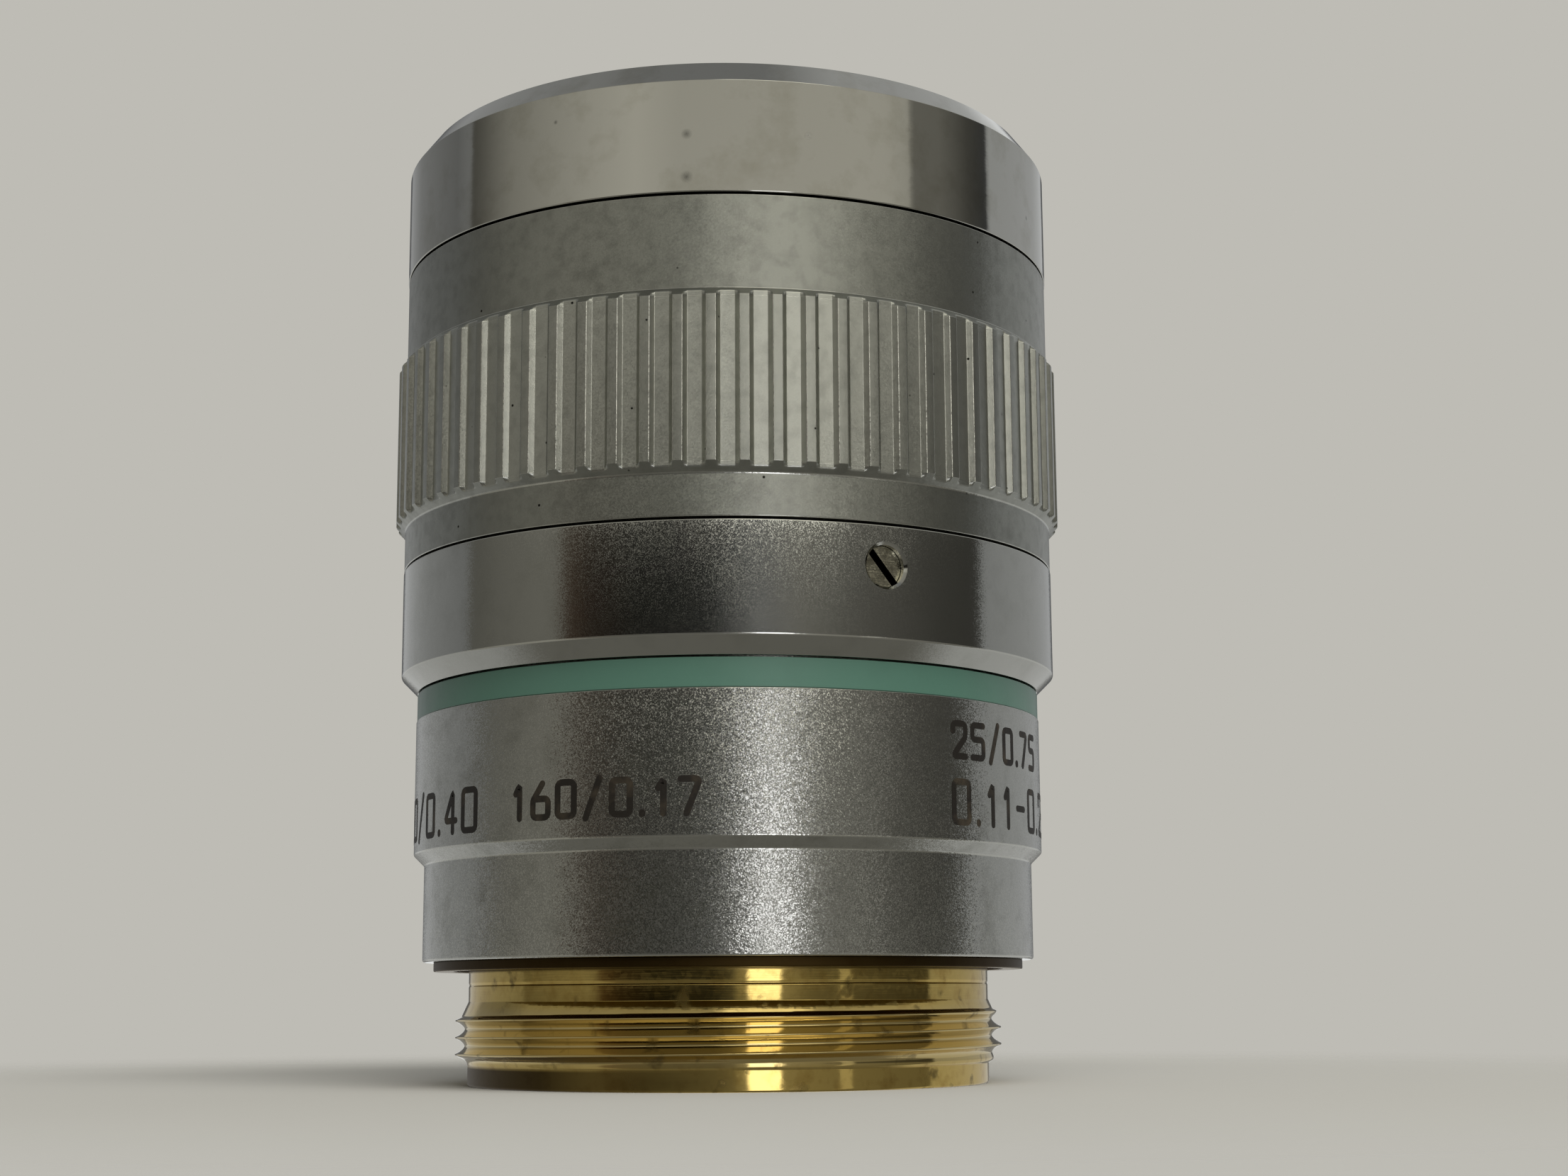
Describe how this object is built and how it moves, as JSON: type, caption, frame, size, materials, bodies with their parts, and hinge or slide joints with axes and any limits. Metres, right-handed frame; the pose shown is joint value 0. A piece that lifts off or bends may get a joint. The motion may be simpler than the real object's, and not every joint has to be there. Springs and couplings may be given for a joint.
{
  "type": "microscope objective",
  "caption": "Microscope objective on a brass screw thread: stepped satin chrome barrel, green ring, knurled correction collar that shifts an inner lens group, polished bevelled nose.",
  "frame": {"origin": "centre of the rear end face, on the optical axis", "axes": "+Z along the optical axis from the mounting thread to the front lens; -Y is the side that one grub screw of the index ring is nearest to"},
  "size_m": [0.0314, 0.0314, 0.0435],
  "materials": {
    "bare_brass": "turned, lightly tarnished",
    "satin_chrome": "fine blasted, satin",
    "polished_chrome": "polished",
    "green_enamel": "satin enamel",
    "black_anodised": "matt black anodised",
    "optical_glass": "polished and coated",
    "bright_steel": "turned",
    "slip_plastic": "smooth"
  },
  "bodies": {
    "body": {"thread_mount": "bare_brass", "lens_tube": "bare_brass", "parfocal_shim": "bare_brass", "rear_barrel": "satin_chrome", "index_ring": "satin_chrome", "front_cap": "polished_chrome", "colour_ring": "green_enamel", "front_cell": "black_anodised", "front_lock_ring": "black_anodised", "second_cell": "black_anodised", "second_retainer": "black_anodised", "triplet_cell": "black_anodised", "triplet_retainer": "black_anodised", "rear_cell": "black_anodised", "rear_retainer": "black_anodised", "rear_spacer": "black_anodised", "rear_lock_ring": "black_anodised", "aperture_stop": "black_anodised", "front_lens": "optical_glass", "second_lens": "optical_glass", "triplet_front": "optical_glass", "triplet_middle": "optical_glass", "triplet_rear": "optical_glass", "rear_crown": "optical_glass", "rear_flint": "optical_glass", "ring_screws": "bright_steel", "rear_washer": "slip_plastic", "front_washer": "slip_plastic"},
    "collar": {"correction_collar": "satin_chrome", "cam_ring": "bare_brass"},
    "slide_group": {"slide_cell": "black_anodised", "slide_crown": "optical_glass", "slide_flint": "optical_glass", "slide_retainer": "black_anodised", "guide_pin": "bright_steel"}
  },
  "joints": [
    {"name": "collar_turn", "type": "hinge", "parent": "body", "child": "collar", "pos_m": [0, 0, 0.03046], "axis": [0, 0, 1], "range_deg": [-60, 60]},
    {"name": "cell_slide", "type": "slide", "parent": "body", "child": "slide_group", "axis": [0, 0, 1], "range_m": [-0.00081, 0.00081]}
  ],
  "couplings": [
    {"joint": "cell_slide", "follows": "collar_turn", "m_per_rad": 0.00076394}
  ]
}
